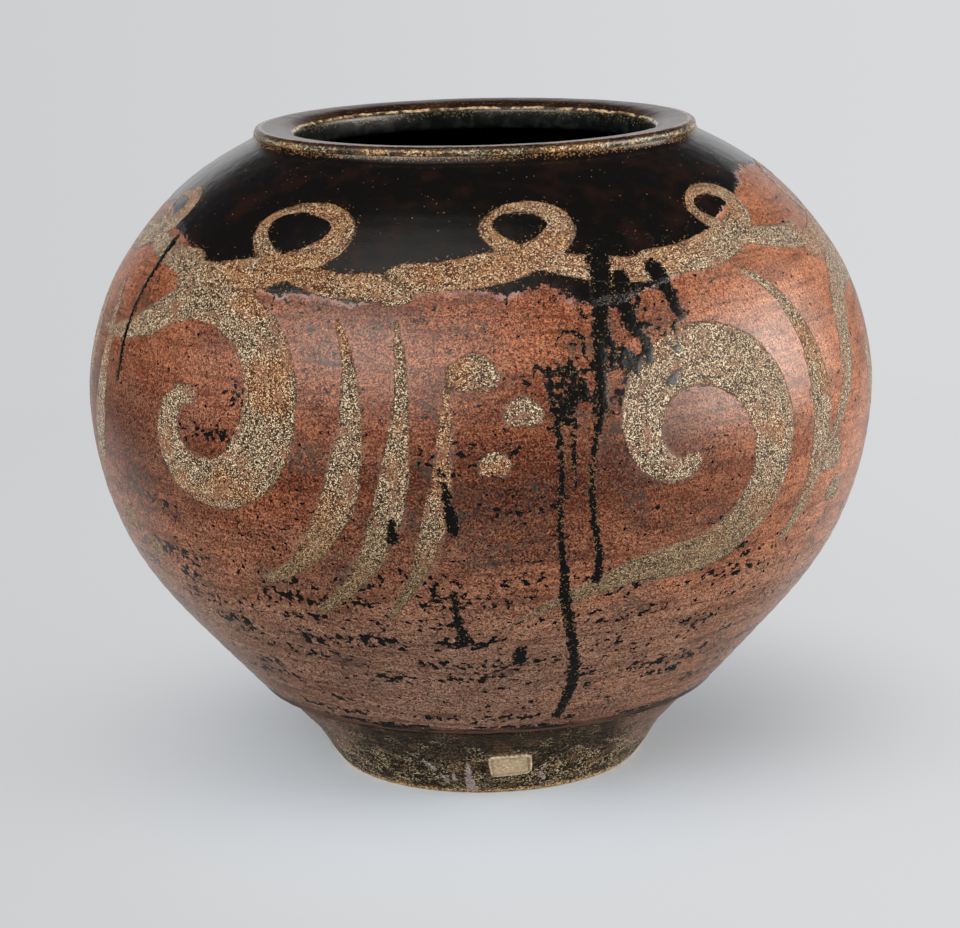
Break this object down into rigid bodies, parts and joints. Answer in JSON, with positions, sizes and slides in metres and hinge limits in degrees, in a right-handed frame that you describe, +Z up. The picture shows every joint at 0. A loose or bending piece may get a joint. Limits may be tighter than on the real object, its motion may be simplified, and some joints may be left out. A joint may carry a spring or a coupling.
{
  "type": "jar",
  "caption": "Round-bellied stoneware jar with a wide flat lip, a low shoulder and a small flared foot, built as luted sections.",
  "frame": {"origin": "centre of the foot's standing rim, on the surface that the jar stands on", "axes": "+Z up along the turning axis, -Y towards the side with the clay pad, +X to that side's right"},
  "size_m": [0.3, 0.3, 0.2477],
  "materials": {
    "foot_glaze": "dry, thin dark glaze with ochre flecks",
    "rust_glaze": "satin rust-red iron glaze, speckled, with black breaks and runs",
    "shoulder_glaze": "gloss black glaze that breaks into rust red below the shoulder, with speckled ochre brushwork",
    "lip_glaze": "gloss black-brown glaze, thin and ochre on its edges",
    "pale_clay": "bare pale clay, matt"
  },
  "bodies": {
    "root": {"foot_ring": "foot_glaze", "lower_body": "rust_glaze", "upper_body": "shoulder_glaze", "lip_ring": "lip_glaze", "seal_pad": "pale_clay"}
  },
  "joints": []
}
